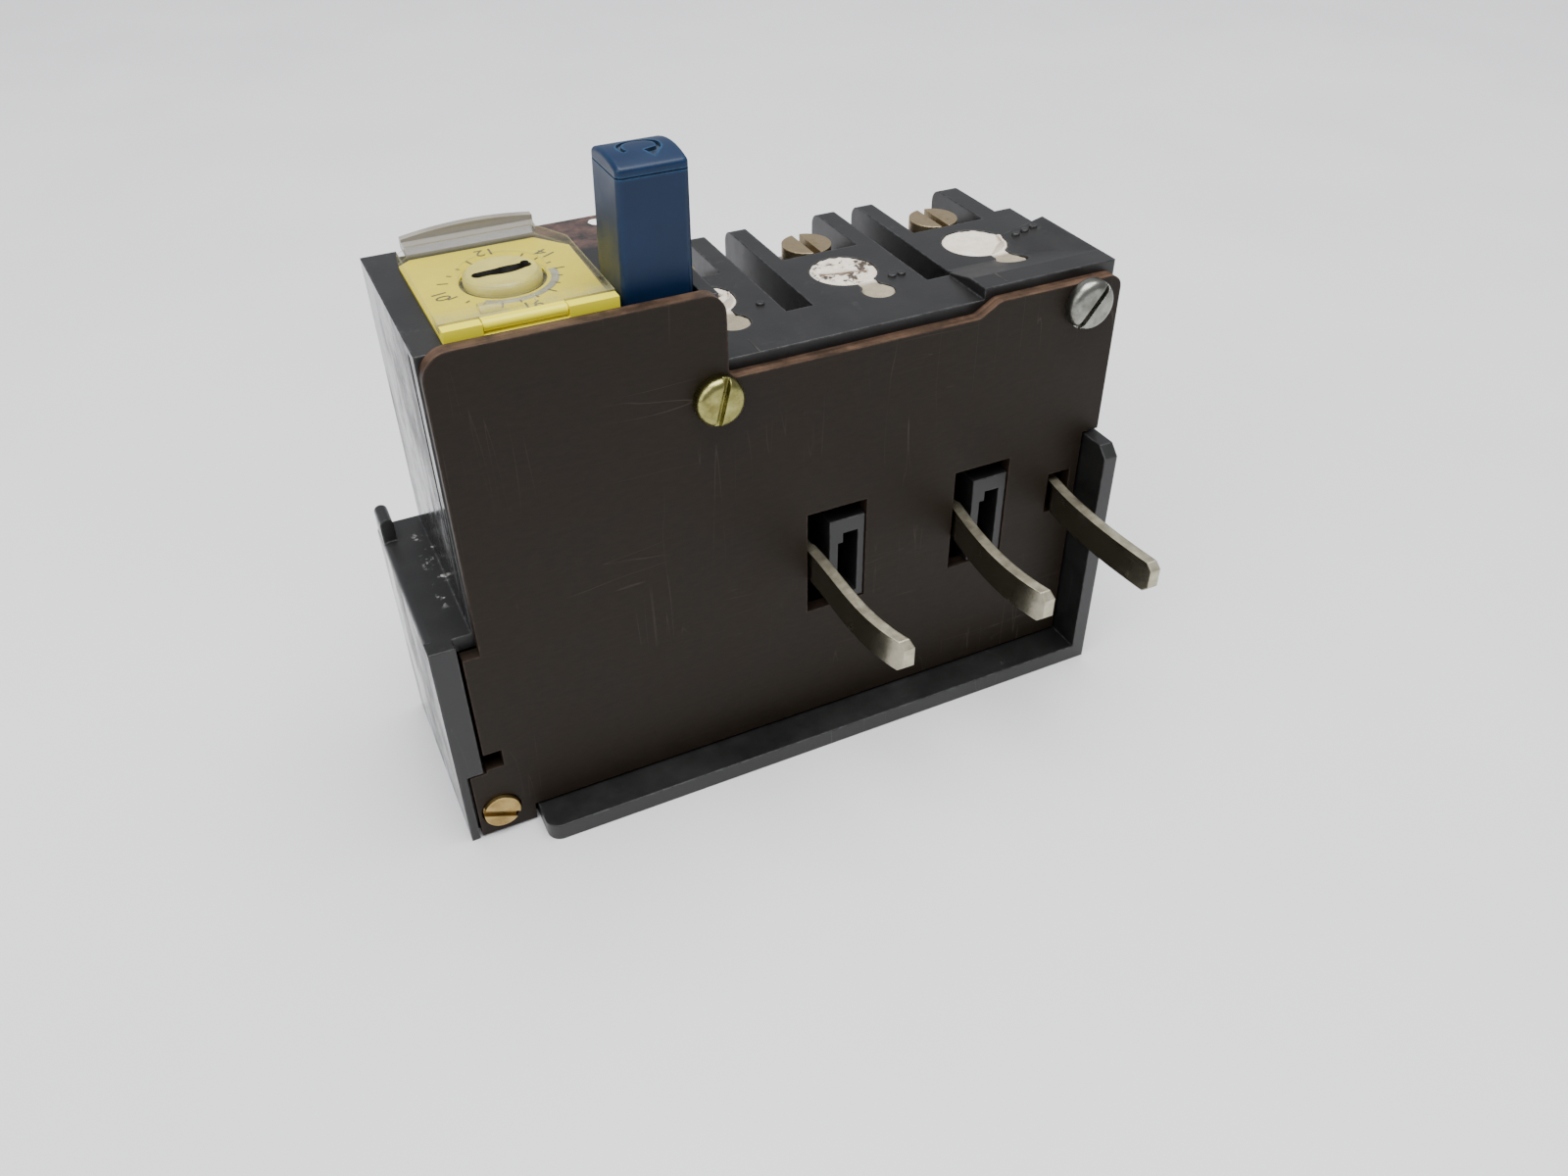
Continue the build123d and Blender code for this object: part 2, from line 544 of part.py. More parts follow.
with BuildPart() as contact_rocker:
    rod_y(rocker_x, rocker_z, (12.5, 17.5), 2.0)
    block((rocker_x - 4.2, rocker_x + 4.2), (13.0, 17.0), (rocker_z - 0.8, rocker_z + 0.8))
    block((rocker_x - 0.7, rocker_x + 0.7), (13.0, 17.0), (28.5, rocker_z))
    rod_y(rocker_x, rocker_z, (11.0, 19.0), pin_radius + pin_clearance, Mode.SUBTRACT)
keep(contact_rocker, "contact_rocker")

with BuildPart() as rocker_pin:
    rod_y(rocker_x, rocker_z, pin_y, pin_radius)
keep(rocker_pin, "rocker_pin")

with BuildPart() as moving_contacts:
    for side in (-1, 1):
        block(tuple(sorted((rocker_x + side * 2.2, rocker_x + side * 4.2))), (13.4, 16.6),
              (rocker_z + 0.8, rocker_z + 1.2))
        rod_z(rocker_x + side * 3.3, 15.0, (rocker_z + 1.1, rocker_z + 1.7), 0.8)
keep(moving_contacts, "moving_contacts")

contact_leads = {"fixed_contact_nc": (-27.2, -24.2, 0.0), "fixed_contact_no": (-34.2, -30.8, 0.55)}
for name, (low, high, gap) in contact_leads.items():
    with BuildPart() as fixed_contact:
        bottom = rocker_z + 1.75 + gap
        block((low, high), (14.0, mechanism_back), (bottom, bottom + 0.7))
        block((low, high), (mechanism_back - 0.8, mechanism_back), (bottom, 49.0))
    keep(fixed_contact, name)

with BuildPart() as common_contact:
    block((-22.0, -18.5), (mechanism_back - 0.8, mechanism_back), (40.8, 49.0))
keep(common_contact, "common_contact")

with BuildPart() as auxiliary_screws:
    for x in auxiliary_x:
        rod_y(x, auxiliary_z, (mechanism_back + 0.02, 22.0), screw_hole - 0.15)
        rod_y(x, auxiliary_z, (21.6, 23.4), 2.2)
    for x in auxiliary_x:
        block((x - 3, x + 3), (22.7, 24.0), (auxiliary_z - 0.35, auxiliary_z + 0.35), Mode.SUBTRACT)
keep(auxiliary_screws, "auxiliary_screws")

with BuildPart() as auxiliary_clamps:
    for x in auxiliary_x:
        block((x - 2.3, x + 2.3), (20.5, 21.5), (auxiliary_z - 3.4, auxiliary_z + 3.4))
        rod_y(x, auxiliary_z, (20, 22), screw_hole, Mode.SUBTRACT)
keep(auxiliary_clamps, "auxiliary_clamps")
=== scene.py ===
"""Looks of the plug-on thermal overload relay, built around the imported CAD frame."""
import json
import math

import bmesh
import bpy
from mathutils import Matrix, Vector, noise


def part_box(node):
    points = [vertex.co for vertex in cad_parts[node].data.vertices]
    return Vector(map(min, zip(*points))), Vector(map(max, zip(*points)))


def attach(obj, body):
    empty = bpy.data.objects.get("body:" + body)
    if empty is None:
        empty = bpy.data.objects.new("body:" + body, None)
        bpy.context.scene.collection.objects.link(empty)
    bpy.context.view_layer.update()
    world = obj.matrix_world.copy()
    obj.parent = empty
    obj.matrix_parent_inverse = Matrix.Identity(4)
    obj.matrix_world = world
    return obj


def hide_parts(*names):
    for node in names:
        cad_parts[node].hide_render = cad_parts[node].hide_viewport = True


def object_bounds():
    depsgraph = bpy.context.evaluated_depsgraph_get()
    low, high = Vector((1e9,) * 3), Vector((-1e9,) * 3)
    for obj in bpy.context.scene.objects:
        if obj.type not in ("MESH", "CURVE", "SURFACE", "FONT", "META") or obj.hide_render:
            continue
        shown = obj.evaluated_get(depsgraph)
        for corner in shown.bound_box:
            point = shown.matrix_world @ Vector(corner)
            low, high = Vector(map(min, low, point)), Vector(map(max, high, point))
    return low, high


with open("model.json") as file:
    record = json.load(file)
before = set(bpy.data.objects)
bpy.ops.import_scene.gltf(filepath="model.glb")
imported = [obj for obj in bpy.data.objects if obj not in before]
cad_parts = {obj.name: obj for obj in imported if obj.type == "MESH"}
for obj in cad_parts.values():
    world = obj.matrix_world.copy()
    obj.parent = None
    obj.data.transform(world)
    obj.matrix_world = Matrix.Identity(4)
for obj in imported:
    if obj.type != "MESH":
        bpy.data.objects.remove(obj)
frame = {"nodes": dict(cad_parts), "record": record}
cad_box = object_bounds()
nodes = frame["nodes"]
MM = 0.001


# ---------------------------------------------------------------- material helpers
# lengths in the materials are in metres, and noise scales in features per metre
BEVEL_SAMPLES = 6


class Paint:
    """A Principled material, with short calls for the nodes that feed it."""

    def __init__(self, name):
        self.material = bpy.data.materials.new(name)
        self.material.use_nodes = True
        self.tree = self.material.node_tree
        self.shader = self.tree.nodes["Principled BSDF"]
        self.place = self.node("ShaderNodeTexCoord").outputs["Object"]

    def node(self, kind, **settings):
        made = self.tree.nodes.new(kind)
        for key, value in settings.items():
            setattr(made, key, value)
        return made

    def link(self, source, target):
        self.tree.links.new(source, target)

    def set(self, **values):
        names = {
            "metallic": "Metallic",
            "specular": "Specular IOR Level",
            "subsurface": "Subsurface Weight",
        }
        for key, value in values.items():
            self.shader.inputs[names[key]].default_value = value

    def stretched(self, scale):
        mapping = self.node("ShaderNodeMapping")
        mapping.inputs["Scale"].default_value = scale
        self.link(self.place, mapping.inputs["Vector"])
        return mapping.outputs["Vector"]

    def noise(self, scale, detail=4.0, rough=0.6, place=None, distortion=0.0):
        """Noise with features about 1/scale metres across."""
        made = self.node("ShaderNodeTexNoise")
        made.inputs["Scale"].default_value = scale
        made.inputs["Detail"].default_value = detail
        made.inputs["Roughness"].default_value = rough
        made.inputs["Distortion"].default_value = distortion
        self.link(place or self.place, made.inputs["Vector"])
        return made.outputs["Fac"]

    def ramp(self, value, low, high, to_low=0.0, to_high=1.0):
        """value from low..high to to_low..to_high, held at the ends."""
        made = self.node("ShaderNodeMapRange")
        ends = {"From Min": low, "From Max": high, "To Min": to_low, "To Max": to_high}
        for name, number in ends.items():
            made.inputs[name].default_value = number
        self.link(value, made.inputs["Value"])
        return made.outputs["Result"]

    def math(self, operation, a, b=None):
        made = self.node("ShaderNodeMath", operation=operation)
        for socket, value in zip(made.inputs, (a, b)):
            if value is None:
                continue
            if isinstance(value, (int, float)):
                socket.default_value = value
            else:
                self.link(value, socket)
        return made.outputs[0]

    def mix(self, amount, first, second):
        """Colour first where amount is 0 and second where it is 1."""
        made = self.node("ShaderNodeMix", data_type="RGBA")
        self.link(amount, made.inputs["Factor"])
        for socket, colour in ((made.inputs[6], first), (made.inputs[7], second)):
            if isinstance(colour, tuple):
                socket.default_value = (*colour, 1.0)
            else:
                self.link(colour, socket)
        return made.outputs[2]

    def normal_axis(self, axis):
        """How far the face looks along an axis, from -1 to 1."""
        split = self.node("ShaderNodeSeparateXYZ")
        self.link(self.node("ShaderNodeNewGeometry").outputs["Normal"], split.inputs[0])
        return split.outputs["XYZ".index(axis)]

    def position(self, axis):
        split = self.node("ShaderNodeSeparateXYZ")
        self.link(self.place, split.inputs[0])
        return split.outputs["XYZ".index(axis)]

    def band(self, axis, low, high, soft):
        """1 where the place along an axis lies between low and high."""
        place = self.position(axis)
        return self.math("MULTIPLY", self.ramp(place, low - soft, low), self.ramp(place, high + soft, high))

    def inside(self, ranges):
        """1 in a box. ranges gives the low end, the high end and the softness along each axis."""
        bands = [self.band(axis, *span) for axis, span in ranges.items()]
        within = bands[0]
        for other in bands[1:]:
            within = self.math("MULTIPLY", within, other)
        return within

    def blend(self, amount, first, second):
        """The number first where amount is 0 and second where it is 1."""
        made = self.node("ShaderNodeMix", data_type="FLOAT")
        for socket, value in zip((made.inputs[0], made.inputs[2], made.inputs[3]), (amount, first, second)):
            self.link(value, socket)
        return made.outputs[0]

    def edges(self, radius):
        """1 on the outer edges of a solid and 0 on its flat faces."""
        bevel = self.node("ShaderNodeBevel", samples=BEVEL_SAMPLES)
        bevel.inputs["Radius"].default_value = radius
        dot = self.node("ShaderNodeVectorMath", operation="DOT_PRODUCT")
        self.link(bevel.outputs[0], dot.inputs[0])
        self.link(self.node("ShaderNodeNewGeometry").outputs["Normal"], dot.inputs[1])
        return self.ramp(dot.outputs["Value"], 1.0, 0.9)

    def colour(self, value):
        if isinstance(value, tuple):
            self.shader.inputs["Base Color"].default_value = (*value, 1.0)
        else:
            self.link(value, self.shader.inputs["Base Color"])

    def roughness(self, value):
        self.link(value, self.shader.inputs["Roughness"])

    def bump(self, *layers, bevel=0.0):
        """Each layer is (height, strength, distance), and bevel is the radius that softens the edges."""
        normal = None
        if bevel:
            rounded = self.node("ShaderNodeBevel", samples=BEVEL_SAMPLES)
            rounded.inputs["Radius"].default_value = bevel
            normal = rounded.outputs[0]
        for height, strength, distance in layers:
            made = self.node("ShaderNodeBump")
            made.inputs["Strength"].default_value = strength
            made.inputs["Distance"].default_value = distance
            self.link(height, made.inputs["Height"])
            if normal:
                self.link(normal, made.inputs["Normal"])
            normal = made.outputs[0]
        self.link(normal, self.shader.inputs["Normal"])


def scratches(paint, scale, lengthwise, width=0.012):
    """Fine hairlines: 1 on a line and 0 beside it. lengthwise is the axis they mostly run along."""
    stretch = [9.0, 9.0, 9.0]
    stretch["XYZ".index(lengthwise)] = 0.6    # drawn out 15 times as long as it is wide
    field = paint.noise(scale, 2.0, 0.5, paint.stretched(stretch), distortion=0.4)
    off_line = paint.math("ABSOLUTE", paint.math("SUBTRACT", field, 0.5))
    line = paint.ramp(off_line, 0.0, width, 1.0, 0.0)
    where = paint.ramp(paint.noise(scale * 1.5, 2.0), 0.52, 0.66)
    return paint.math("MULTIPLY", line, where)


# ---------------------------------------------------------------- materials
# places on the housing: the low end, the high end and the softness along each axis
SHELF_RUBS = {"X": (-0.0374, -0.0360, 0.0004), "Y": (0.0080, 0.0195, 0.0015), "Z": (0.0258, 0.0266, 0.0003)}
TOP_BLOOM = {"X": (-0.0200, -0.0128, 0.0008), "Y": (0.0175, 0.0250, 0.0014), "Z": (0.0553, 0.0560, 0.0002)}


def black_moulding():
    """Dusty, worn black plastic with rub marks on the shelf and a bloom behind the card."""
    p = Paint("black_moulding")
    cloud = p.noise(140, 5, 0.65)
    fine = p.noise(2600, 3)
    base = p.mix(p.ramp(cloud, 0.35, 0.7), (0.0062, 0.0061, 0.0060), (0.0118, 0.0116, 0.0113))
    dust = p.ramp(p.noise(420, 6, 0.7), 0.64, 0.84, 0.0, 0.22)
    upward = p.ramp(p.normal_axis("Z"), 0.5, 1.0)
    base = p.mix(p.math("MULTIPLY", dust, upward), base, (0.16, 0.155, 0.145))
    wear = p.math("MULTIPLY", p.edges(0.00035), p.ramp(p.noise(900, 4), 0.42, 0.62, 0.05, 0.6))
    base = p.mix(wear, base, (0.075, 0.075, 0.078))
    scuff = p.math("MULTIPLY", scratches(p, 45, "Z", 0.005), 0.16)
    base = p.mix(scuff, base, (0.16, 0.16, 0.15))
    # white rub marks along the shelf, close to the left face
    rubs = p.math("MULTIPLY", p.inside(SHELF_RUBS), p.ramp(p.noise(560, 5, 0.75), 0.56, 0.64))
    base = p.mix(rubs, base, (0.42, 0.42, 0.40))
    # reddish-brown bloom on the top behind the card
    bloom = p.math("MULTIPLY", p.inside(TOP_BLOOM), p.ramp(p.noise(330, 5, 0.7), 0.38, 0.60, 0.0, 0.85))
    base = p.mix(bloom, base, (0.105, 0.055, 0.043))
    p.colour(base)
    # the outer left faces are smooth enough to mirror the table, with duller smudges
    facing_left = p.ramp(p.normal_axis("X"), -0.7, -0.95)
    outermost = p.ramp(p.position("X"), -0.0350, -0.0354)
    left = p.math("MULTIPLY", facing_left, outermost)
    satin = p.ramp(cloud, 0.3, 0.75, 0.32, 0.50)
    polished = p.ramp(p.noise(120, 6, 0.75, p.stretched((1.0, 1.0, 0.45))), 0.40, 0.62, 0.07, 0.42)
    p.roughness(p.blend(left, satin, polished))
    p.bump((fine, 0.14, 0.00006), (cloud, 0.06, 0.0003), bevel=0.00025)
    p.set(specular=0.46)
    return p.material


def brown_laminate():
    """Dark resin-bonded paper with fine scratches and a layered edge, painted paler along its top as if lit
    and painted with shade at its sides.
    """
    p = Paint("brown_laminate")
    mottled = p.noise(95, 6, 0.7)
    fibre = p.noise(700, 3, 0.6, p.stretched((1.0, 1.0, 3.0)))
    face = p.mix(p.ramp(mottled, 0.3, 0.72), (0.0100, 0.0068, 0.0038), (0.0152, 0.0104, 0.0060))
    face = p.mix(p.ramp(fibre, 0.35, 0.8, 0.0, 0.35), face, (0.023, 0.0160, 0.0108))
    lines = p.math("MAXIMUM", scratches(p, 38, "Z", 0.005), scratches(p, 30, "X", 0.004))
    face = p.mix(p.math("MULTIPLY", lines, 0.30), face, (0.11, 0.09, 0.075))
    # the sawn edge shows paper layers, painted light where it faces up and painted shade at the sides and in
    # the windows
    layers = p.noise(260, 4, 0.6, p.stretched((0.4, 9.0, 0.4)))
    lit_layers = p.mix(p.ramp(layers, 0.3, 0.7), (0.042, 0.0235, 0.0150), (0.118, 0.070, 0.044))
    shade = p.mix(p.ramp(layers, 0.3, 0.7), (0.010, 0.0065, 0.0045), (0.022, 0.0140, 0.0095))
    facing_up = p.ramp(p.normal_axis("Z"), 0.25, 0.8)
    lit_top = p.math("MULTIPLY", facing_up, p.ramp(p.noise(330, 5, 0.7), 0.36, 0.60, 0.25, 1.0))
    lit_top = p.math("MULTIPLY", lit_top, p.ramp(p.position("Z"), 0.040, 0.042))
    cut_edge = p.mix(lit_top, shade, lit_layers)
    side = p.ramp(p.math("ABSOLUTE", p.normal_axis("Y")), 0.85, 0.55)
    rim = p.math("MULTIPLY", p.edges(0.0003), p.ramp(p.noise(1300, 4), 0.38, 0.62, 0.12, 0.65))
    face = p.mix(rim, face, (0.080, 0.050, 0.034))
    p.colour(p.mix(side, face, cut_edge))
    p.roughness(p.ramp(mottled, 0.3, 0.75, 0.44, 0.60))
    p.bump((fibre, 0.14, 0.00008), (lines, -0.12, 0.00005), bevel=0.0002)
    p.set(specular=0.16)
    return p.material


def blade_metal():
    """Drawn strip: its flat sides mirror what is beside them, its sheared edges and tips are paler."""
    p = Paint("tinned_blade")
    patches = p.noise(380, 5, 0.65)
    flank = p.mix(p.ramp(patches, 0.36, 0.64), (0.38, 0.355, 0.27), (0.27, 0.25, 0.18))
    flank = p.mix(p.ramp(p.noise(210, 6, 0.75), 0.56, 0.72, 0.0, 0.7), flank, (0.20, 0.17, 0.11))
    sheared = p.mix(p.ramp(p.noise(900, 4), 0.36, 0.64), (0.50, 0.465, 0.35), (0.35, 0.325, 0.235))
    edge = p.ramp(p.math("ABSOLUTE", p.normal_axis("X")), 0.85, 0.55)
    p.colour(p.mix(edge, flank, sheared))
    glossy = p.ramp(patches, 0.3, 0.7, 0.16, 0.28)
    dull = p.ramp(patches, 0.3, 0.7, 0.38, 0.55)
    p.roughness(p.blend(edge, glossy, dull))
    p.bump((scratches(p, 110, "Y", 0.05), 0.2, 0.00004), (patches, 0.10, 0.0002), bevel=0.0002)
    p.set(metallic=1.0)
    return p.material


def metal(name, clean, dull, rough, scale, grain=None, stains=None):
    """A plated or bare metal: two tones in cloudy patches, fine lines along grain, darker stains."""
    p = Paint(name)
    patches = p.noise(scale, 5, 0.65)
    tone = p.mix(p.ramp(patches, 0.36, 0.64), clean, dull)
    if stains:
        tone = p.mix(p.ramp(p.noise(scale * 0.55, 6, 0.75), 0.56, 0.72, 0.0, 0.75), tone, stains)
    lines = scratches(p, scale * 0.3, grain, 0.05) if grain else p.noise(scale * 6, 3)
    rubbed = tuple(min(1.0, c * 1.5) for c in clean)
    tone = p.mix(p.math("MULTIPLY", p.edges(0.0002), 0.35), tone, rubbed)
    p.colour(tone)
    p.roughness(p.ramp(patches, 0.3, 0.7, *rough))
    p.bump((lines, 0.25, 0.00004), (patches, 0.12, 0.0002), bevel=0.0002)
    p.set(metallic=1.0)
    return p.material


def yellow_card():
    """Stained yellow plastic, brighter on the raised rim at the front."""
    p = Paint("yellow_card")
    stain = p.noise(170, 6, 0.7)
    tone = p.mix(p.ramp(stain, 0.35, 0.7), (0.62, 0.520, 0.018), (0.52, 0.440, 0.018))
    front = p.ramp(p.position("Y"), 0.0038, 0.0034)
    tone = p.mix(front, tone, (0.84, 0.74, 0.02))
    tone = p.mix(p.ramp(p.noise(900, 5, 0.7), 0.66, 0.80, 0.0, 0.30), tone, (0.30, 0.27, 0.12))
    p.colour(tone)
    p.roughness(p.ramp(stain, 0.3, 0.7, 0.38, 0.55))
    p.bump((p.noise(1500, 3), 0.08, 0.00005))
    return p.material


def soft_plastic(name, first, second, rough=(0.35, 0.5), scale=220, edge=None, specular=0.5):
    """A moulded plastic: a slight cloud in its colour and gloss, a fine skin, paler edges."""
    p = Paint(name)
    cloud = p.noise(scale, 5, 0.6)
    tone = p.mix(p.ramp(cloud, 0.35, 0.7), first, second)
    if edge:
        worn = p.math("MULTIPLY", p.edges(0.0004), p.ramp(p.noise(1200, 4), 0.35, 0.6, 0.3, 0.9))
        tone = p.mix(worn, tone, edge)
    p.colour(tone)
    lines = scratches(p, scale * 0.25, "Z", 0.01)
    p.roughness(p.ramp(cloud, 0.3, 0.75, *rough))
    p.bump((p.noise(3000, 2), 0.08, 0.00004), (lines, -0.15, 0.00004), bevel=0.00015)
    p.set(specular=specular)
    return p.material


def clear_plastic():
    """Nearly clear over the card, greyer in the bent tab, frosted and then yellow along the hinge."""
    p = Paint("clear_plastic")
    behind_card = 0.0204       # y just behind the card
    tab_start = 0.0208         # y where the bent tab begins
    fold_height = 0.05752      # z of the tab's fold
    haze = p.noise(300, 5, 0.7)
    tone = p.mix(p.ramp(haze, 0.4, 0.7), (0.38, 0.35, 0.18), (0.29, 0.27, 0.15))
    on_barrel = p.ramp(p.position("Y"), 0.00345, 0.0033)
    strip = p.math("MULTIPLY", on_barrel, p.ramp(p.position("Z"), 0.0561, 0.0562))
    in_tab = p.ramp(p.position("Y"), tab_start, 0.0213)
    tone = p.mix(in_tab, tone, (0.27, 0.25, 0.21))
    p.colour(p.mix(strip, tone, (0.84, 0.74, 0.03)))
    p.roughness(p.ramp(haze, 0.35, 0.7, 0.12, 0.26))
    edge = p.node("ShaderNodeLayerWeight")
    edge.inputs["Blend"].default_value = 0.25
    cover = p.ramp(edge.outputs["Facing"], 0.3, 1.0, 0.04, 0.22)
    # painted highlight: the bent tab is made more opaque along its fold, so that a bright band shows there
    off_fold = p.math("ABSOLUTE", p.math("SUBTRACT", p.position("Z"), fold_height))
    fold_highlight = p.ramp(off_fold, 0.0, 0.0003, 0.45, 0.0)
    tab = p.math("MULTIPLY", in_tab, p.math("ADD", fold_highlight, 0.55))
    back = p.ramp(p.position("Y"), behind_card, tab_start, 0.0, 0.15)
    frost = p.ramp(haze, 0.40, 0.58, 0.10, 0.50)
    hinge = p.math("MULTIPLY", p.ramp(p.position("Y"), 0.0062, 0.0042), frost)
    lines = p.math("MULTIPLY", scratches(p, 70, "X", 0.010), 0.22)
    rim = p.math("MULTIPLY", p.edges(0.00035), 0.30)
    for extra in (tab, back, hinge, lines, rim, p.math("MULTIPLY", strip, 0.8)):
        cover = p.math("ADD", cover, extra)
    p.link(p.math("MINIMUM", cover, 1.0), p.shader.inputs["Alpha"])
    p.bump((haze, 0.10, 0.0003))
    p.set(specular=0.30)
    return p.material


def sealing_compound():
    """Pale crusty compound: beige in the keyholes' tails and crumbled in the middle seal."""
    p = Paint("sealing_compound")
    crust = p.noise(480, 6, 0.7)
    tone = p.mix(p.ramp(crust, 0.35, 0.7), (0.82, 0.735, 0.62), (0.66, 0.56, 0.44))
    # the tails are plain beige
    tail = p.ramp(p.position("Y"), 0.0108, 0.0100)
    tone = p.mix(tail, tone, p.mix(p.ramp(crust, 0.35, 0.7), (0.27, 0.225, 0.155), (0.34, 0.285, 0.20)))
    # crumbled through to the dark screw below
    middle_seal = p.band("X", 0.0065, 0.0152, 0.0003)
    torn = p.math("MULTIPLY", p.ramp(p.noise(430, 6, 0.75), 0.53, 0.57), p.math("SUBTRACT", 1.0, tail))
    tone = p.mix(p.math("MULTIPLY", torn, middle_seal), tone, (0.045, 0.030, 0.020))
    # painted shade: darker where the compound lies lowest, in the pits and in the print of the slot
    tone = p.mix(p.ramp(p.position("Z"), 0.04874, 0.04860), tone, (0.16, 0.10, 0.065))
    p.colour(tone)
    p.roughness(p.ramp(crust, 0.3, 0.7, 0.40, 0.70))
    p.bump((crust, 0.30, 0.00025), (p.noise(2200, 4), 0.22, 0.0001))
    p.set(subsurface=0.05)
    return p.material


def ink(name, tone):
    """A dull print or paint, lighter in patches where it has faded."""
    p = Paint(name)
    fade = p.noise(700, 4)
    p.colour(p.mix(p.ramp(fade, 0.35, 0.7), tone, tuple(c * 1.7 + 0.03 for c in tone)))
    p.roughness(p.ramp(fade, 0.3, 0.7, 0.45, 0.65))
    return p.material


METALS = {
    "yellow_zinc": dict(clean=(0.34, 0.32, 0.12), dull=(0.15, 0.14, 0.04), rough=(0.16, 0.38), scale=420,
                        stains=(0.13, 0.105, 0.03)),
    "zinc": dict(clean=(0.31, 0.31, 0.28), dull=(0.15, 0.15, 0.13), rough=(0.18, 0.40), scale=420,
                 stains=(0.10, 0.095, 0.075)),
    "brass": dict(clean=(0.44, 0.35, 0.21), dull=(0.26, 0.205, 0.125), rough=(0.34, 0.58), scale=520,
                  stains=(0.13, 0.10, 0.06)),
    "brass_foot_screw": dict(clean=(0.50, 0.36, 0.14), dull=(0.30, 0.205, 0.075), rough=(0.3, 0.5), scale=500,
                             stains=(0.20, 0.10, 0.04)),
    "busbar": dict(clean=(0.55, 0.43, 0.24), dull=(0.36, 0.27, 0.15), rough=(0.30, 0.5), scale=400,
                   grain="Y", stains=(0.18, 0.13, 0.07)),
    "plated_steel": dict(clean=(0.56, 0.55, 0.52), dull=(0.38, 0.37, 0.34), rough=(0.25, 0.45), scale=420,
                         grain="X"),
    "resistance_wire": dict(clean=(0.30, 0.27, 0.24), dull=(0.18, 0.16, 0.15), rough=(0.35, 0.6), scale=600),
    "copper_lead": dict(clean=(0.62, 0.31, 0.18), dull=(0.40, 0.19, 0.11), rough=(0.35, 0.6), scale=900),
    "bimetal": dict(clean=(0.52, 0.50, 0.45), dull=(0.36, 0.34, 0.30), rough=(0.25, 0.45), scale=400,
                    grain="Z"),
    "spring_steel": dict(clean=(0.50, 0.50, 0.50), dull=(0.34, 0.34, 0.34), rough=(0.2, 0.4), scale=700),
}
MATERIALS = {name: metal(name, **looks) for name, looks in METALS.items()}
MATERIALS.update({
    "black_moulding": black_moulding(),
    "brown_laminate": brown_laminate(),
    "tinned_blade": blade_metal(),
    "sealing_compound": sealing_compound(),
    "yellow_card": yellow_card(),
    "dial_plastic": soft_plastic("dial_plastic", (0.56, 0.49, 0.10), (0.38, 0.34, 0.09), (0.22, 0.4), 300),
    "inner_plastic": soft_plastic("inner_plastic", (0.58, 0.55, 0.46), (0.48, 0.45, 0.37)),
    "clear_plastic": clear_plastic(),
    "blue_plastic": soft_plastic("blue_plastic", (0.0014, 0.0120, 0.0400), (0.0028, 0.0180, 0.0560),
                                 (0.34, 0.50), 180, (0.012, 0.080, 0.180), 0.28),
})
INK = ink("card_ink", (0.045, 0.042, 0.022))
GREY_INK = ink("card_grey_ink", (0.17, 0.165, 0.12))
DARK_LINE = ink("button_line", (0.004, 0.016, 0.040))
# painted shade: a near-black paint that lines recesses and stands in for the shade inside them
RECESS_SHADE = ink("painted_recess_shade", (0.010, 0.009, 0.006))
WHITE_PAINT = ink("white_paint", (0.62, 0.62, 0.60))


def give(obj, material):
    obj.data.materials.clear()
    obj.data.materials.append(material)


for entry in frame["record"]["subparts"]:
    give(nodes[entry["node"]], MATERIALS[entry["material_slot"]])
give(nodes["foot_screw"], MATERIALS["brass_foot_screw"])


# ---------------------------------------------------------------- mesh helpers
def add_piece(name, mesh, body, material):
    piece = bpy.data.objects.new(name, mesh)
    bpy.context.scene.collection.objects.link(piece)
    give(piece, material)
    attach(piece, body)
    return piece


def applied(obj):
    """The object, its mesh replaced by one with the modifiers applied."""
    graph = bpy.context.evaluated_depsgraph_get()
    mesh = bpy.data.meshes.new_from_object(obj.evaluated_get(graph))
    obj.modifiers.clear()
    obj.data = mesh
    return obj


def mesh_of(name, build):
    """A mesh made by build(bm)."""
    bm = bmesh.new()
    build(bm)
    mesh = bpy.data.meshes.new(name)
    bm.to_mesh(mesh)
    bm.free()
    return mesh


def flat_shape(name, outline, low, high):
    """A slab of any outline: a list of (x, y) in millimetres, between two heights in millimetres."""
    def build(bm):
        face = bm.faces.new([bm.verts.new((x * MM, y * MM, low * MM)) for x, y in outline])
        rise = bmesh.ops.extrude_face_region(bm, geom=[face])
        verts = [v for v in rise["geom"] if isinstance(v, bmesh.types.BMVert)]
        bmesh.ops.translate(bm, verts=verts, vec=(0, 0, (high - low) * MM))
        bmesh.ops.recalc_face_normals(bm, faces=bm.faces)
    return mesh_of(name, build)


def box_shape(name, low, high):
    """A box between two corners in millimetres."""
    outline = [(low[0], low[1]), (high[0], low[1]), (high[0], high[1]), (low[0], high[1])]
    return flat_shape(name, outline, low[2], high[2])


def on_circle(cx, cy, radius, degrees):
    angle = math.radians(degrees)
    return cx + radius * math.cos(angle), cy + radius * math.sin(angle)


def arc_points(cx, cy, radius, start, end, count):
    """Points on an arc, angles in degrees."""
    return [on_circle(cx, cy, radius, start + (end - start) * i / (count - 1)) for i in range(count)]


def smooth(obj, angle):
    """Shade smoothly, but keep edges sharper than the angle in degrees."""
    for face in obj.data.polygons:
        face.use_smooth = True
    obj.data.set_sharp_from_angle(angle=math.radians(angle))


ABOVE = 0.5                # how far a cutter reaches out of the top, in millimetres


def carve(piece, mesh, material):
    """Cut the mesh out of the piece, and line the cut with the material."""
    tool = bpy.data.objects.new("cutter", mesh)
    bpy.context.scene.collection.objects.link(tool)
    give(tool, material)
    cut = piece.modifiers.new("cut", "BOOLEAN")
    cut.operation = "DIFFERENCE"
    cut.object = tool
    cut.material_mode = "TRANSFER"
    applied(piece)
    bpy.data.objects.remove(tool)


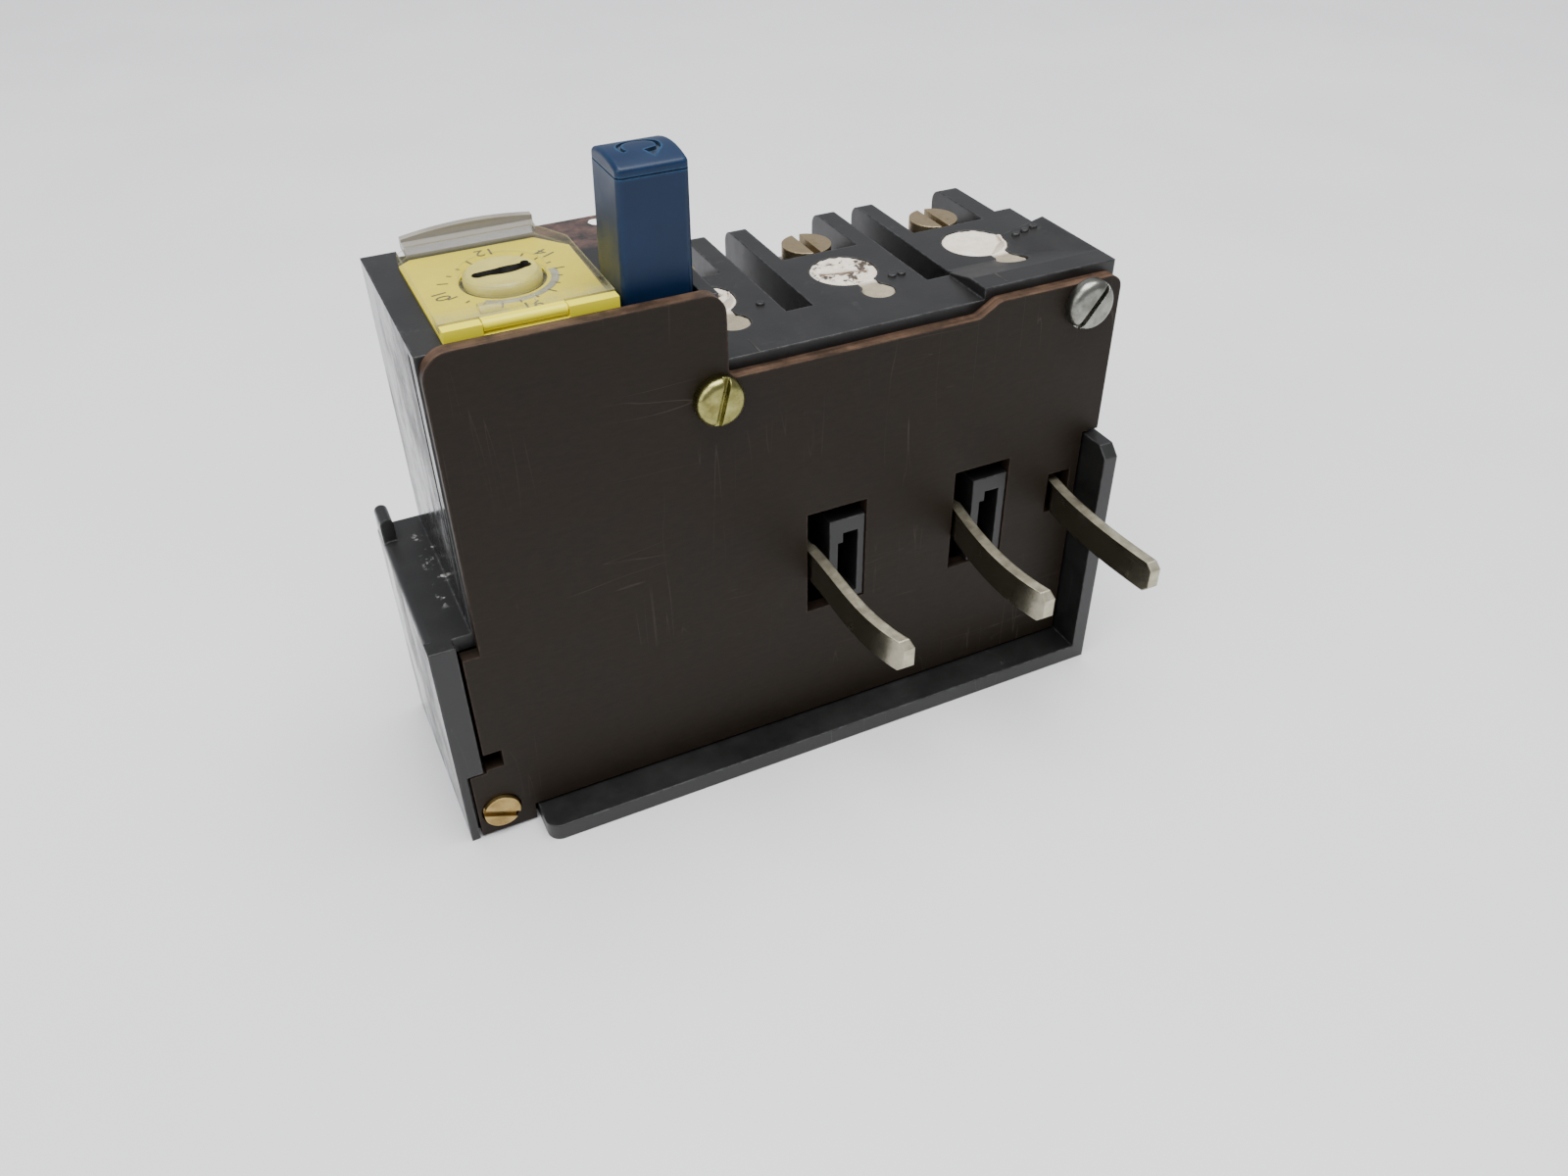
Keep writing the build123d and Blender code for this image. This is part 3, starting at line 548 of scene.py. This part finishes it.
# ---------------------------------------------------------------- scale card print, in millimetres
CARD_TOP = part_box("scale_card")[0].z / MM + 0.3     # the card is 0.3 thick under its rim
dial_low, dial_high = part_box("current_dial")
DIAL = ((dial_low + dial_high) / 2 / MM).xy         # the dial's axis
PRINT = 0.02                                        # the printing's thickness
NUMERAL_SIZE = 2.0
# the number, the x and y of its middle and its turn in degrees
NUMERALS = (
    ("10", -31.3, 11.4, -80),
    ("12", -25.2, 19.2, 180),
    ("14", -20.1, 16.4, 120),
    ("16", -24.4, 6.0, 0),
)


def scale_arc():
    """A grey band round part of the dial."""
    inner, outer, start, end, count = 4.35, 5.1, -125, 5, 32
    outline = arc_points(DIAL.x, DIAL.y, outer, start, end, count)
    outline += arc_points(DIAL.x, DIAL.y, inner, end, start, count)
    band = flat_shape("card_scale_arc", outline, CARD_TOP, CARD_TOP + PRINT)
    add_piece("card_scale_arc", band, "base", GREY_INK)


def scale_ticks():
    """Thin strokes nearly all the way round the dial, every third one long."""
    count, start, spacing = 19, -160, 18
    foot, long, short, half_width = 4.9, 1.0, 0.5, 0.09

    def build(bm):
        for step in range(count):
            angle = math.radians(start + step * spacing)
            length = long if step % 3 == 0 else short
            out = Vector((math.cos(angle), math.sin(angle), 0))
            side = Vector((-out.y, out.x, 0)) * half_width
            middle = Vector((DIAL.x, DIAL.y, CARD_TOP + PRINT * 1.5))
            corners = [middle + out * foot + side, middle + out * foot - side,
                       middle + out * (foot + length) - side, middle + out * (foot + length) + side]
            bm.faces.new([bm.verts.new(c * MM) for c in corners])
    add_piece("card_ticks", mesh_of("card_ticks", build), "base", INK)


def numeral(text, x, y, turn):
    """A number on the card, at (x, y) and turned by degrees."""
    letters = bpy.data.curves.new("numeral_" + text, "FONT")
    letters.body = text
    letters.size = NUMERAL_SIZE * MM
    letters.extrude = PRINT / 2 * MM
    letters.align_x = "CENTER"
    letters.align_y = "CENTER"
    source = bpy.data.objects.new("numeral_source", letters)
    place = Matrix.Translation(Vector((x, y, CARD_TOP + PRINT)) * MM)
    source.matrix_world = place @ Matrix.Rotation(math.radians(turn), 4, "Z")
    bpy.context.scene.collection.objects.link(source)
    bpy.context.view_layer.update()
    mesh = bpy.data.meshes.new_from_object(source.evaluated_get(bpy.context.evaluated_depsgraph_get()))
    mesh.transform(source.matrix_world)
    bpy.data.objects.remove(source)
    add_piece("card_numeral_" + text, mesh, "base", INK)


scale_arc()
scale_ticks()
for row in NUMERALS:
    numeral(*row)


# ---------------------------------------------------------------- reset button, in millimetres
CROWN = 2.0                # the cap is measured within this depth of its top
BESIDE = 1                 # how far the seam's cutters reach out of the cap's sides


def cap_sides(node, top):
    """Left, right, front and back of the button's cap, measured close to its top."""
    places = [node.matrix_world @ v.co / MM for v in node.data.vertices]
    places = [v for v in places if v.z > top - CROWN]
    across = [v.x for v in places]
    along = [v.y for v in places]
    return min(across), max(across), min(along), max(along)


def seam_cutters(left, right, front, back):
    """The low and high corners of the four boxes that cut the seam."""
    depth = 0.22
    return {
        "front": ((left - BESIDE, front - BESIDE), (right + BESIDE, front + depth)),
        "back": ((left - BESIDE, back - depth), (right + BESIDE, back + BESIDE)),
        "left": ((left - BESIDE, front - BESIDE), (left + depth, back + BESIDE)),
        "right": ((right - depth, front - BESIDE), (right + BESIDE, back + BESIDE)),
    }


def turning_arrow(x, y):
    """The outlines of an open ring and of the arrow head on its right-hand end, round (x, y)."""
    inner, outer, start, end, count = 1.5, 1.9, -50, 210, 28
    ring = arc_points(x, y, outer, start, end, count) + arc_points(x, y, inner, end, start, count)
    tip_x, tip_y = on_circle(x, y, 1.7, start)
    head = [(tip_x - 0.95, tip_y + 0.35), (tip_x + 0.75, tip_y + 0.75), (tip_x - 0.45, tip_y - 0.95)]
    return {"arrow_ring": ring, "arrow_head": head}


def reset_button():
    """The blue cap and stem, with a seam below its crown and a turning arrow engraved on top."""
    node = nodes["reset_button"]
    blue = MATERIALS["blue_plastic"]
    button = add_piece("reset_button_cap", node.data.copy(), "button", blue)
    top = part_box(node.name)[1].z / MM
    left, right, front, back = cap_sides(node, top)
    seam_low, seam_high = top - 1.40, top - 1.30
    for side, (low, high) in seam_cutters(left, right, front, back).items():
        carve(button, box_shape("seam_" + side, (*low, seam_low), (*high, seam_high)), DARK_LINE)
    middle = Vector(((left + right) / 2, (front + back) / 2))
    engraved = top - 0.34
    for name, outline in turning_arrow(middle.x, middle.y).items():
        carve(button, flat_shape(name, outline, engraved, top + ABOVE), DARK_LINE)
    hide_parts(node.name)


reset_button()


# ---------------------------------------------------------------- current dial, in millimetres
def lens_outline():
    """A lens-shaped slot, its left end a little nearer the front than its right one."""
    reach, bulge, droop, steps = 2.85, 0.72, 0.35, 16

    def point(i, rise, bow):
        t = i / steps
        x = DIAL.x - reach + 2 * reach * t
        y = DIAL.y - droop + rise * t + bow * math.sin(math.pi * t ** 1.25)
        return x, y

    lower = [point(i, droop, -bulge) for i in range(steps)]
    upper = [point(i, 0.55, bulge) for i in range(steps - 1, 0, -1)]
    return lower + [(DIAL.x + reach, DIAL.y)] + upper


def slot_shade_outline():
    """The node's own straight slot, a hair wider, turned with it, to be lined with painted shade."""
    half_length, half_width, count = 2.25, 0.57, 12
    turn = math.radians(5)
    slot = arc_points(half_length, 0, half_width, -90, 90, count)
    slot += arc_points(-half_length, 0, half_width, 90, 270, count)
    outline = []
    for x, y in slot:
        across = x * math.cos(turn) - y * math.sin(turn)
        along = x * math.sin(turn) + y * math.cos(turn)
        outline.append((DIAL.x + across, DIAL.y + along))
    return outline


def current_dial():
    """The dial with a pointed screwdriver slot and a small eye at its end, and the node's own slot cut a hair
    wider; all the cut faces are painted dark as shade.
    """
    node = nodes["current_dial"]
    yellow = MATERIALS["dial_plastic"]
    dial = add_piece("current_dial_knob", node.data.copy(), "dial", yellow)
    top = dial_high.z / MM
    eye = arc_points(DIAL.x + 2.35, DIAL.y + 0.75, 0.38, 0, 345, 24)
    cuts = (
        ("slot_lens", lens_outline(), 0.96),
        ("slot_eye", eye, 0.75),
        ("slot_shade_lining", slot_shade_outline(), 0.98),
    )
    for name, outline, depth in cuts:
        # the cut faces take the near-black painted shade
        carve(dial, flat_shape(name, outline, top - depth, top + ABOVE), RECESS_SHADE)
    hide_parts(node.name)


current_dial()


# ---------------------------------------------------------------- sealing compound, in metres
SLOT_HALF_WIDTH = 0.00060  # the print that a screwdriver's slot left in the compound
SLOT_HALF_LENGTH = 0.0026
SLOT_DEPTH = 0.00055
CRUMBLED = 0.0034          # radius of the crumbled middle of the second seal
SKIN = 0.0006              # only what lies this close to the top is made rough
VOXEL = 0.00016
SLOT_TURNS = {1: 20, 2: -14, 3: 8}


def seal_drop(place, centre, along, number):
    """How far the filling lies below the housing's top at a place on it."""
    away = place.xy - centre
    length = away.dot(along)
    across = abs(away.x * along.y - away.y * along.x)
    uneven = noise.noise(place * 900 + Vector((number * 7, 0, 0)))
    drop = 0.00010 + 0.00009 * uneven + 0.00006 * noise.noise(place * 2600)
    if number == 2 and away.length < CRUMBLED:
        # crumbs and pits round the print of the slot
        pit = noise.noise(place * 1400 + Vector((3, 1, 5)))
        drop += 0.00030 * max(0.0, pit) - 0.00012 * max(0.0, -pit)
    if number != 3 and abs(length) < SLOT_HALF_LENGTH and across < SLOT_HALF_WIDTH:
        drop += SLOT_DEPTH * (1 - (across / SLOT_HALF_WIDTH) ** 2)
    return max(0.0, drop)


def seal_filling(number, turn):
    """A rough, slightly sunken filling; the first two carry the print of a screwdriver's slot."""
    node = nodes["seal_%d" % number]
    low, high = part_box(node.name)
    compound = MATERIALS["sealing_compound"]
    seal = add_piece("seal_%d_filling" % number, node.data.copy(), "base", compound)
    remesh = seal.modifiers.new("remesh", "REMESH")
    remesh.mode = "VOXEL"
    remesh.voxel_size = VOXEL
    applied(seal)
    radius = (high.x - low.x) / 2
    centre = Vector((low.x + radius, high.y - radius))
    along = Vector((math.cos(math.radians(turn)), math.sin(math.radians(turn))))
    for v in seal.data.vertices:
        if v.co.z > high.z - SKIN:
            v.co.z -= seal_drop(v.co, centre, along, number)
    smooth(seal, 60)
    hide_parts(node.name)
    if number != 2:
        torn_flap("seal_%d_flap" % number, centre, radius, high.z)


def torn_flap(name, centre, radius, top):
    """A thin torn sliver that stands up where the round filling meets its tail."""
    steps, start, sweep = 8, -88, 100      # the last two in degrees
    height, sunk, thickness = 0.0010, 0.0002, 0.00012
    reach = radius * 0.93

    def build(bm):
        rows = []
        for i in range(steps + 1):
            t = i / steps
            angle = math.radians(start + sweep * t)
            foot = Vector((centre.x + reach * math.cos(angle), centre.y + reach * math.sin(angle), top))
            ragged = noise.noise(Vector((t * 5, centre.x * 900, 0)))
            rise = height * math.sin(math.pi * t) ** 0.7 * (0.6 + 0.5 * ragged)
            lean = Vector((-math.cos(angle), -math.sin(angle), 0)) * rise * 0.8
            crest = foot + Vector((0, 0, rise)) + lean
            rows.append((foot - Vector((0, 0, sunk)), foot * 0.5 + crest * 0.5 + lean * 0.3, crest))
        verts = [[bm.verts.new(co) for co in row] for row in rows]
        for a, b in zip(verts, verts[1:]):
            for j in range(2):
                bm.faces.new((a[j], b[j], b[j + 1], a[j + 1]))
    compound = MATERIALS["sealing_compound"]
    flap = add_piece(name, mesh_of(name, build), "base", compound)
    thick = flap.modifiers.new("thick", "SOLIDIFY")
    thick.thickness = thickness
    thick.offset = 0
    applied(flap)
    smooth(flap, 80)


for number, turn in SLOT_TURNS.items():
    seal_filling(number, turn)


# ---------------------------------------------------------------- marks on the housing, in millimetres
LOW_TOP = 49.0             # the terminal side's top
PAD_TOP = 50.2             # the raised pad's top at the right
SLOPE_LEFT = 30.6          # where the top begins to rise towards the right face
SLOPE = 1.2 / 5.4
SHADE_LINES = (("shade_line_left", -4.7, 1.6, 4.4, LOW_TOP), ("shade_line_right", 22.9, 1.9, 4.2, PAD_TOP))
PIPS = ((1, -0.45, 10.8), (2, 15.2, 10.7), (3, 32.9, 13.4))
PIP_SPACING = 1.1
PIP_FOOT = 0.52            # radius at the foot
PIP_CREST = 0.42           # radius at the top
PIP_HEIGHT = 0.5           # half of it is sunk in the housing


def shade_line_slips():
    """Two thin dark slips of painted shade that stand for engraved lines beside the plate."""
    half_width, thickness = 0.07, 0.015
    for name, x, front, back, top in SHADE_LINES:
        line = box_shape(name, (x - half_width, front, top), (x + half_width, back, top + thickness))
        add_piece(name, line, "base", RECESS_SHADE)


def pole_pips():
    """Raised pips that count the poles: one, two and three, each row round its middle x at y."""
    def build(bm):
        for count, middle, y in PIPS:
            for i in range(count):
                x = middle + PIP_SPACING * (i - (count - 1) / 2)
                z = LOW_TOP + SLOPE * max(0.0, x - SLOPE_LEFT)
                seat = Matrix.Translation(Vector((x, y, z)) * MM)
                bmesh.ops.create_cone(bm, cap_ends=True, segments=16, radius1=PIP_FOOT * MM,
                                      radius2=PIP_CREST * MM, depth=PIP_HEIGHT * MM, matrix=seat)
    black = MATERIALS["black_moulding"]
    add_piece("pole_pips", mesh_of("pole_pips", build), "base", black)


def locking_paint():
    """A flat, uneven drop of white paint on the top behind the card, in metres."""
    place, radius, flatness = (-0.0131, 0.0222, 0.05576), 0.0007, 0.16

    def build(bm):
        bmesh.ops.create_icosphere(bm, subdivisions=4, radius=radius)
        for v in bm.verts:
            v.co *= 1 + 0.35 * noise.noise(v.co * 1800)
            v.co.z *= flatness
            v.co += Vector(place)
    drop = add_piece("locking_paint", mesh_of("locking_paint", build), "base", WHITE_PAINT)
    smooth(drop, 80)


shade_line_slips()
pole_pips()
locking_paint()


# ---------------------------------------------------------------- stage, light and camera, in metres
FLOOR_HALF = 1.5
FOCAL_LENGTH = 28.77       # with a sensor 36 mm wide
CAMERA_PLACE = (-0.0483, -0.0953, 0.10385)
CAMERA_TURN = (51.99, 0.57, -25.72)
SKY_TONE = (0.92, 0.94, 1.0, 1)
SKY_STRENGTH = 0.55


def stage():
    """A pale table under the part."""
    def build(bm):
        bmesh.ops.create_grid(bm, x_segments=1, y_segments=1, size=FLOOR_HALF)
        bmesh.ops.translate(bm, verts=bm.verts, vec=(0, 0, cad_box[0][2]))
    floor = bpy.data.objects.new("floor", mesh_of("floor", build))
    bpy.context.scene.collection.objects.link(floor)
    p = Paint("pale_table")
    p.colour(p.mix(p.ramp(p.noise(9, 5, 0.6), 0.3, 0.7), (0.74, 0.74, 0.755), (0.80, 0.80, 0.81)))
    p.roughness(p.ramp(p.noise(25, 4), 0.3, 0.7, 0.35, 0.5))
    give(floor, p.material)


def light(name, place, target, size, power):
    """A rectangular lamp that looks at the target, size in metres and power in watts."""
    lamp = bpy.data.lights.new(name, "AREA")
    lamp.shape = "RECTANGLE"
    lamp.size, lamp.size_y = size
    lamp.energy = power
    holder = bpy.data.objects.new(name, lamp)
    holder.location = place
    holder.rotation_euler = (Vector(target) - Vector(place)).to_track_quat("-Z", "Y").to_euler()
    bpy.context.scene.collection.objects.link(holder)


def sky():
    """Even, slightly blue light from all round."""
    world = bpy.data.worlds.new("studio")
    world.use_nodes = True
    background = world.node_tree.nodes["Background"]
    background.inputs["Color"].default_value = SKY_TONE
    background.inputs["Strength"].default_value = SKY_STRENGTH
    bpy.context.scene.world = world


def camera():
    view = bpy.data.cameras.new("camera")
    view.lens = FOCAL_LENGTH
    view.sensor_width = 36.0
    view.clip_start = 0.005
    holder = bpy.data.objects.new("camera", view)
    holder.location = CAMERA_PLACE
    holder.rotation_euler = [math.radians(a) for a in CAMERA_TURN]
    bpy.context.scene.collection.objects.link(holder)
    bpy.context.scene.camera = holder


stage()
light("window", place=(-0.62, -0.38, 0.75), target=(0, 0.01, 0.03), size=(0.6, 0.5), power=3.0)
light("ceiling", place=(0.05, -0.05, 0.90), target=(0, 0, 0), size=(0.8, 0.8), power=15.5)
light("room", place=(-0.60, -0.10, 0.30), target=(0, 0, 0.02), size=(0.5, 0.5), power=1.2)
sky()
camera()
